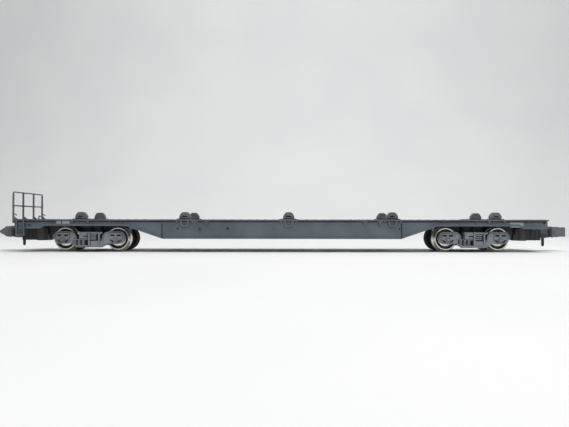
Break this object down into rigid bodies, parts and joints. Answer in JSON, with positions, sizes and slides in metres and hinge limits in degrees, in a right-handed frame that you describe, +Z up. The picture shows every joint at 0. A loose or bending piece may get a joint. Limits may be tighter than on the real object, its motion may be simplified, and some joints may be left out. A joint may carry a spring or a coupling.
{
  "type": "n gauge model container flatcar",
  "caption": "Empty railway flatcar model with fish-belly side sills, raised container locks, an end railing, swivelling bogies and hook couplers.",
  "frame": {"origin": "on the floor under the wheel flanges, at the middle of the car's length and width", "axes": "+X along the car from the railing end to the plain end, +Z up, +Y across the car"},
  "size_m": [0.1446, 0.0176, 0.0148],
  "materials": {
    "body_plastic": "satin",
    "lock_plastic": "satin",
    "bogie_plastic": "satin",
    "black_plastic": "satin",
    "ballast_steel": "satin",
    "wheel_metal": "polished",
    "axle_steel": "satin"
  },
  "bodies": {
    "frame": {"deck": "body_plastic", "underframe": "body_plastic", "ballast_plate": "ballast_steel", "container_locks_left": "lock_plastic", "container_locks_right": "lock_plastic", "sill_brackets_left": "body_plastic", "sill_brackets_right": "body_plastic", "end_railing": "body_plastic", "corner_steps": "body_plastic", "brake_cylinder": "body_plastic", "air_reservoirs": "body_plastic", "control_valve": "body_plastic", "brake_rods": "body_plastic", "bogie_pin_front": "black_plastic", "bogie_pin_rear": "black_plastic"},
    "front_bogie": {"bogie_core_front": "black_plastic", "side_frames_front": "bogie_plastic", "brake_shoes_front": "black_plastic", "coupler_lid_front": "black_plastic"},
    "rear_bogie": {"bogie_core_rear": "black_plastic", "side_frames_rear": "bogie_plastic", "brake_shoes_rear": "black_plastic", "coupler_lid_rear": "black_plastic"},
    "wheelset_1": {"wheels_1": "wheel_metal", "axle_1": "axle_steel"},
    "wheelset_2": {"wheels_2": "wheel_metal", "axle_2": "axle_steel"},
    "wheelset_3": {"wheels_3": "wheel_metal", "axle_3": "axle_steel"},
    "wheelset_4": {"wheels_4": "wheel_metal", "axle_4": "axle_steel"},
    "front_coupler": {"coupler_front": "bogie_plastic", "uncoupling_pin_front": "black_plastic"},
    "rear_coupler": {"coupler_rear": "bogie_plastic", "uncoupling_pin_rear": "black_plastic"}
  },
  "joints": [
    {"name": "front_bogie_swivel", "type": "hinge", "parent": "frame", "child": "front_bogie", "pos_m": [-0.04735, 0, 0.0056], "axis": [0, 0, 1], "range_deg": [-12, 12]},
    {"name": "rear_bogie_swivel", "type": "hinge", "parent": "frame", "child": "rear_bogie", "pos_m": [0.04735, 0, 0.0056], "axis": [0, 0, 1], "range_deg": [-12, 12]},
    {"name": "wheelset_1_spin", "type": "hinge", "parent": "front_bogie", "child": "wheelset_1", "pos_m": [-0.05385, 0, 0.0032], "axis": [0, 1, 0], "continuous": true},
    {"name": "wheelset_2_spin", "type": "hinge", "parent": "front_bogie", "child": "wheelset_2", "pos_m": [-0.04085, 0, 0.0032], "axis": [0, 1, 0], "continuous": true},
    {"name": "wheelset_3_spin", "type": "hinge", "parent": "rear_bogie", "child": "wheelset_3", "pos_m": [0.04085, 0, 0.0032], "axis": [0, 1, 0], "continuous": true},
    {"name": "wheelset_4_spin", "type": "hinge", "parent": "rear_bogie", "child": "wheelset_4", "pos_m": [0.05385, 0, 0.0032], "axis": [0, 1, 0], "continuous": true},
    {"name": "front_coupler_swing", "type": "hinge", "parent": "front_bogie", "child": "front_coupler", "pos_m": [-0.06155, 0, 0.0042], "axis": [0, 0, 1], "range_deg": [-10, 10]},
    {"name": "rear_coupler_swing", "type": "hinge", "parent": "rear_bogie", "child": "rear_coupler", "pos_m": [0.06155, 0, 0.0042], "axis": [0, 0, 1], "range_deg": [-10, 10]}
  ]
}
